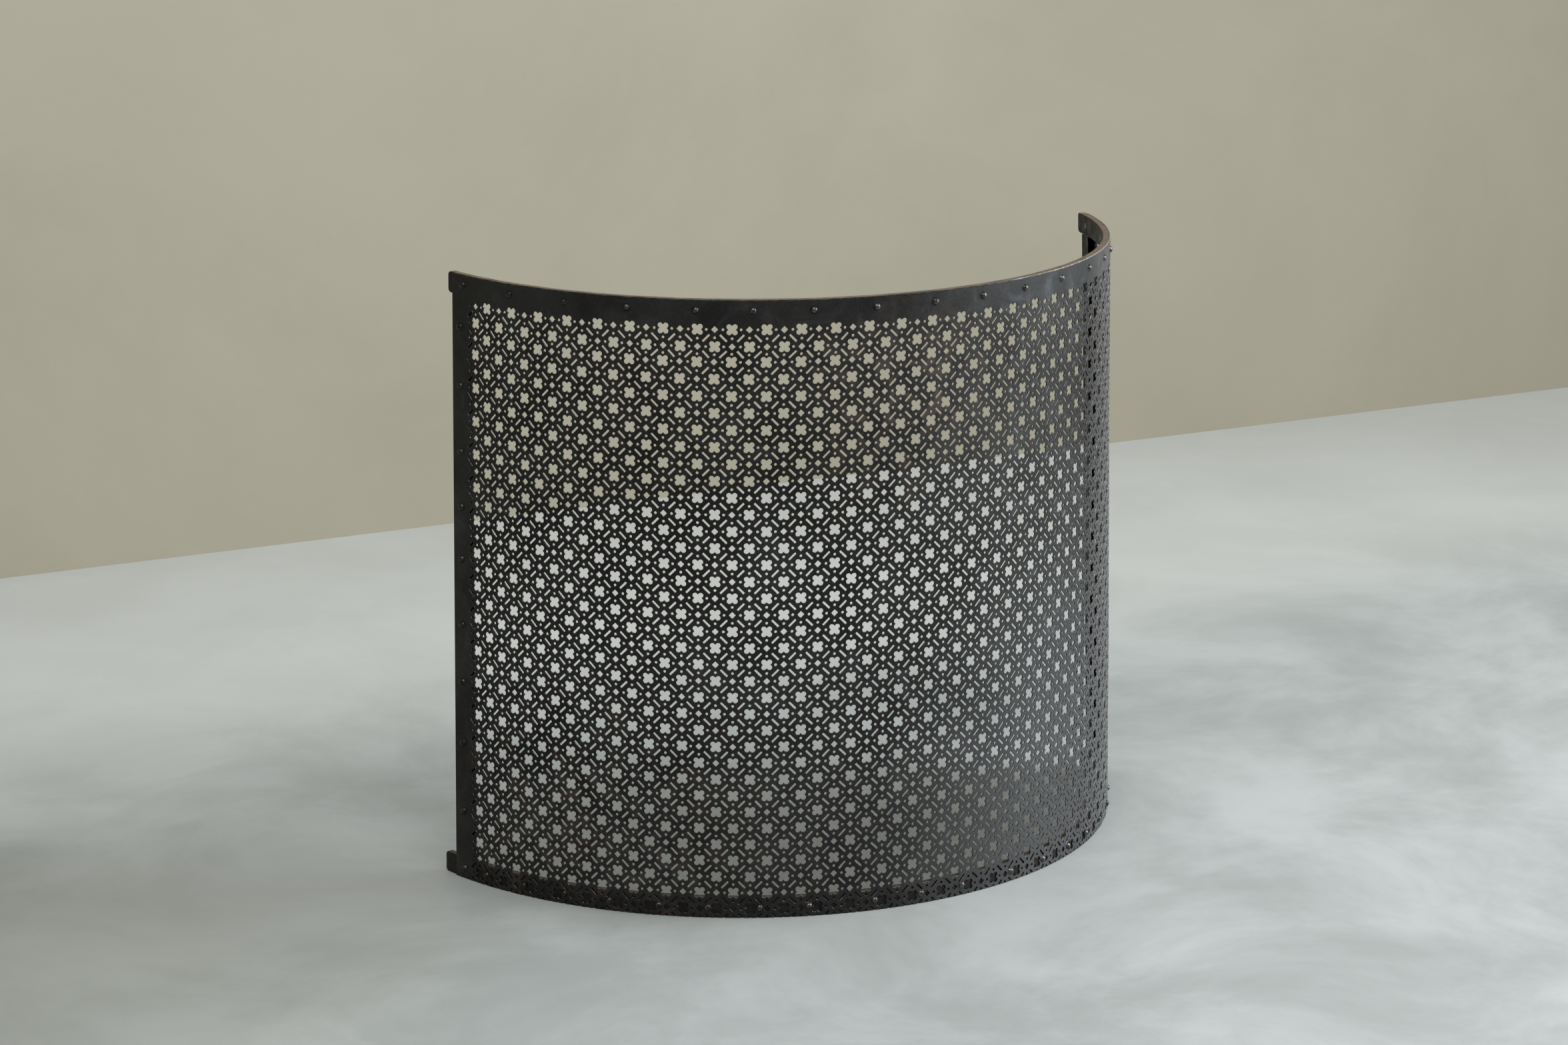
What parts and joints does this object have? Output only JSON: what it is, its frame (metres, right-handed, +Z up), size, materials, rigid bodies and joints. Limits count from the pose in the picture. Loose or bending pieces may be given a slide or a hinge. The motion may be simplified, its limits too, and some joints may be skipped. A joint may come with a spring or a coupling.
{
  "type": "fireplace screen",
  "caption": "Free-standing fireplace screen: perforated blackened steel sheet bent to a C, riveted to flat-bar rails and stiles.",
  "frame": {"origin": "on the floor, in the middle of the rectangle that the whole screen covers in plan", "axes": "+Z up; the bulging outer face looks towards -Y and the open side faces +Y; +X is to the right when the outer face is looked at"},
  "size_m": [0.9142, 0.3776, 0.744],
  "materials": {
    "blackened_sheet": "blackened sheet steel with a worn, mottled patina",
    "bar_steel": "flat bar with brown rust patina",
    "rivet_steel": "blackened rivet heads, worn bright on top"
  },
  "bodies": {
    "root": {"perforated_sheet": "blackened_sheet", "top_rail": "bar_steel", "bottom_rail": "bar_steel", "left_stile": "bar_steel", "right_stile": "bar_steel", "rivet_top_01": "rivet_steel", "rivet_top_02": "rivet_steel", "rivet_top_03": "rivet_steel", "rivet_top_04": "rivet_steel", "rivet_top_05": "rivet_steel", "rivet_top_06": "rivet_steel", "rivet_top_07": "rivet_steel", "rivet_top_08": "rivet_steel", "rivet_top_09": "rivet_steel", "rivet_top_10": "rivet_steel", "rivet_top_11": "rivet_steel", "rivet_top_12": "rivet_steel", "rivet_top_13": "rivet_steel", "rivet_top_14": "rivet_steel", "rivet_top_15": "rivet_steel", "rivet_top_16": "rivet_steel", "rivet_top_17": "rivet_steel", "rivet_bottom_01": "rivet_steel", "rivet_bottom_02": "rivet_steel", "rivet_bottom_03": "rivet_steel", "rivet_bottom_04": "rivet_steel", "rivet_bottom_05": "rivet_steel", "rivet_bottom_06": "rivet_steel", "rivet_bottom_07": "rivet_steel", "rivet_bottom_08": "rivet_steel", "rivet_bottom_09": "rivet_steel", "rivet_bottom_10": "rivet_steel", "rivet_bottom_11": "rivet_steel", "rivet_bottom_12": "rivet_steel", "rivet_bottom_13": "rivet_steel", "rivet_bottom_14": "rivet_steel", "rivet_bottom_15": "rivet_steel", "rivet_bottom_16": "rivet_steel", "rivet_bottom_17": "rivet_steel", "rivet_bottom_18": "rivet_steel", "rivet_bottom_19": "rivet_steel", "rivet_bottom_20": "rivet_steel", "rivet_bottom_21": "rivet_steel", "rivet_left_01": "rivet_steel", "rivet_left_02": "rivet_steel", "rivet_left_03": "rivet_steel", "rivet_left_04": "rivet_steel", "rivet_left_05": "rivet_steel", "rivet_left_06": "rivet_steel", "rivet_left_07": "rivet_steel", "rivet_left_08": "rivet_steel", "rivet_left_09": "rivet_steel", "rivet_right_01": "rivet_steel", "rivet_right_02": "rivet_steel", "rivet_right_03": "rivet_steel", "rivet_right_04": "rivet_steel", "rivet_right_05": "rivet_steel", "rivet_right_06": "rivet_steel", "rivet_right_07": "rivet_steel", "rivet_right_08": "rivet_steel"}
  },
  "joints": []
}
